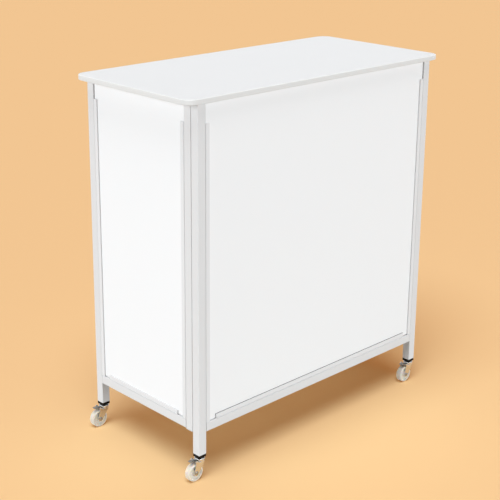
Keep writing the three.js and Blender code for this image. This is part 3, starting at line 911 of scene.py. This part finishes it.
cup = turned(
    "lower_cup",
    [
        (0.0095, 0.045),
        (0.0101, 0.0451),
        (0.0104, 0.0455),
        (0.0104, 0.0467),
        (0.0102, 0.0471),
        (0.0102, 0.0486),
        (0.01, 0.0492),
        (0.0094, 0.0495),
        (0.0086, 0.0496),
    ],
    steps=48,
)
pin = turned(
    "brake_pin",
    [
        (0.0009, -cheek_outside - 0.0005),
        (0.0016, -cheek_outside - 0.0003),
        (0.0019, -cheek_outside),
        (0.0019, 0.0004 - cheek_outside),
        (0.0015, 0.0004 - cheek_outside),
        (0.0015, cheek_outside - 0.0004),
        (0.0019, cheek_outside - 0.0004),
        (0.0019, cheek_outside),
        (0.0016, cheek_outside + 0.0003),
        (0.0009, cheek_outside + 0.0005),
    ],
    steps=20,
)
pin.data.transform(
    Matrix.Translation((pin_x, 0, pin_z)) @ Matrix.Rotation(math.pi / 2, 4, "X")
)
fork = one_piece("fork", fork, cup, pin)
on_each_caster(fork, "fork", zinc)


# Caster wheel: moulded in milky natural nylon that lets some light through, with a soft-edged
# tread, a thin web sunk on both faces and a bored hub.
milky_nylon = finish(
    "milky_nylon", (0.905, 0.85, 0.755), (0.86, 0.795, 0.685), 0.33, 700, 0.00001, cloud=120
)
milky_shader = milky_nylon.node_tree.nodes["Principled BSDF"]
milky_shader.inputs["Subsurface Weight"].default_value = 0.5
milky_shader.inputs["Subsurface Radius"].default_value = (1, 0.75, 0.5)
milky_shader.inputs["Subsurface Scale"].default_value = 0.004
milky_shader.inputs["Transmission Weight"].default_value = 0.22
milky_shader.inputs["IOR"].default_value = 1.53

wheel_half = 0.008
wheel_radius = axle_z
tread_round = 0.003
side_profile = [
    (0.0033, wheel_half - 0.0004),
    (0.0037, wheel_half),
    (0.0074, wheel_half),
    (0.0079, wheel_half - 0.0003),
    (0.0084, wheel_half - 0.0018),
    (0.009, wheel_half - 0.0024),
    (0.0098, wheel_half - 0.0025),
    (0.0151, wheel_half - 0.0025),
    (0.0159, wheel_half - 0.0022),
    (0.0164, wheel_half - 0.0015),
    (0.0168, wheel_half - 0.0003),
    (0.0173, wheel_half),
]
tread = [
    (
        wheel_radius - tread_round + tread_round * math.sin(math.radians(turn)),
        wheel_half - tread_round + tread_round * math.cos(math.radians(turn)),
    )
    for turn in (0, 15, 30, 45, 60, 75, 90)
]
one_side = side_profile + tread
other_side = [(radius, -across) for radius, across in reversed(one_side)]
wheel = turned("wheel", one_side + other_side, steps=64, closed=True)
wheel.data.transform(
    Matrix.Translation((axle_x, 0, axle_z)) @ Matrix.Rotation(math.pi / 2, 4, "X")
)
on_each_caster(wheel, "wheel", milky_nylon)


# Caster axle: a steel rivet through both cheeks and the hub, with a domed head at one side and a
# closed-over one at the other.
axle_steel = finish(
    "axle_steel", (0.42, 0.42, 0.42), (0.34, 0.34, 0.34), 0.34, 1500, 0.000008, 80, 1.0
)
low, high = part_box("front_left_caster_axle")
reach = (high.y - low.y) / 2
head_depth = 0.0016
head_side = [
    (0.0022, reach),
    (0.0034, reach - 0.0002),
    (0.0043, reach - 0.0007),
    (0.0048, reach - 0.0013),
    (0.0048, reach - head_depth),
    (0.003, reach - head_depth),
]
axle = turned(
    "axle", head_side + [(radius, -across) for radius, across in reversed(head_side)], steps=32
)
axle.data.transform(
    Matrix.Translation((axle_x, 0, axle_z)) @ Matrix.Rotation(math.pi / 2, 4, "X")
)
on_each_caster(axle, "axle", axle_steel)


# Brake pedal: a zinc plated lever that turns on the fork's pin, its colour darkened and browned as
# painted shade and a painted reflection of the floor. Its narrow foot plate has a turned-down lip
# and pressed grip ribs, and its cam nose comes down on the wheel.
# Painted shade: the zinc's colour is dark and warm to stand for the pedal's shade and the floor it
# reflects.
dull_zinc = finish(
    "dull_zinc", (0.36, 0.34, 0.31), (0.26, 0.25, 0.23), 0.42, 1100, 0.00001, 70, 1.0
)
low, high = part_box("front_left_caster_brake")
pedal_half = (high.y - low.y) / 2
pedal_back = low.x - swivel_x
foot_half = 0.005
pedal_plate = 0.0018
pedal_edge = 0.0004
barrel_radius = 0.003
barrel_bore = 0.00175
barrel_round = 0.0003
rib_rise = 0.0004
rib_width = 0.0008
rib_inset = 0.001
rib_edge = 0.0003
rib_places = (-0.0215, -0.0232, -0.0249, -0.0266)
nose_width = 0.0026
nose_reach = 0.0049
nose_root = 0.0006
nose_turn = math.radians(29.3)
arm_start = pin_x - barrel_radius
arm_high = pin_z + barrel_radius - rib_rise
tread_high = high.z - rib_rise
lip_start = pedal_back + 0.0035
lip_bend = 0.0012
bpy.ops.object.select_all(action="DESELECT")
bpy.ops.mesh.primitive_plane_add(size=1)
bpy.context.object.location = ((pin_x + arm_start) / 2, 0, arm_high)
bpy.context.object.scale = (pin_x - arm_start, 2 * foot_half, 1)
lever = settle("lever")
bpy.ops.object.mode_set(mode="EDIT")
choose("EDGE", lambda edge: runs(edge, 1) and edge.verts[0].co.x < arm_start + nearly)
lever_line = [
    (arm_start, arm_high),
    (lip_start + lip_bend, tread_high),
    (lip_start, tread_high),
    (lip_start - 0.0011, tread_high - 0.0003),
    (lip_start - 0.0022, tread_high - 0.0009),
    (pedal_back + 0.0003, tread_high - 0.0018),
]
for (x_now, z_now), (x_next, z_next) in zip(lever_line, lever_line[1:]):
    bpy.ops.mesh.extrude_region_move(
        TRANSFORM_OT_translate={"value": (x_next - x_now, 0, z_next - z_now)}
    )
choose("FACE", lambda face: face.normal.z < 0)
bpy.ops.mesh.flip_normals()
bpy.ops.object.mode_set(mode="OBJECT")
worked("SOLIDIFY", thickness=pedal_plate, offset=-1, use_even_offset=True)
worked("BEVEL", width=pedal_edge, segments=3, limit_method="ANGLE", angle_limit=folded_edge)

rib = block(
    "rib",
    (-rib_width / 2, rib_inset - foot_half, -rib_rise),
    (rib_width / 2, foot_half - rib_inset, rib_rise),
)
worked("BEVEL", width=rib_edge, segments=3)
ribs = []
lever_slope = (tread_high - arm_high) / (lip_start + lip_bend - arm_start)
for place in rib_places:
    lever_top = arm_high + lever_slope * (place - arm_start)
    ribs.append(copied(rib, "grip_rib", Matrix.Translation((place, 0, lever_top))))
bpy.data.objects.remove(rib)

pedal_barrel = turned(
    "pedal_barrel",
    [
        (barrel_bore, -pedal_half),
        (barrel_radius - barrel_round, -pedal_half),
        (barrel_radius, barrel_round - pedal_half),
        (barrel_radius, pedal_half - barrel_round),
        (barrel_radius - barrel_round, pedal_half),
        (barrel_bore, pedal_half),
    ],
    steps=28,
    closed=True,
)
pedal_barrel.data.transform(
    Matrix.Translation((pin_x, 0, pin_z)) @ Matrix.Rotation(math.pi / 2, 4, "X")
)
nose = block(
    "cam_nose",
    (-nose_width / 2, -pedal_half, -nose_reach),
    (nose_width / 2, pedal_half, -barrel_bore - nose_root),
)
bpy.ops.object.mode_set(mode="EDIT")
choose("EDGE", lambda edge: runs(edge, 1) and edge.verts[0].co.z < -nose_reach * 0.9)
bpy.ops.mesh.bevel(offset=nose_width / 3, segments=4, affect="EDGES")
bpy.ops.object.mode_set(mode="OBJECT")
nose.data.transform(
    Matrix.Translation((pin_x, 0, pin_z)) @ Matrix.Rotation(nose_turn, 4, "Y")
)
pedal = one_piece("pedal", lever, pedal_barrel, nose, *ribs)
on_each_caster(pedal, "brake", dull_zinc)
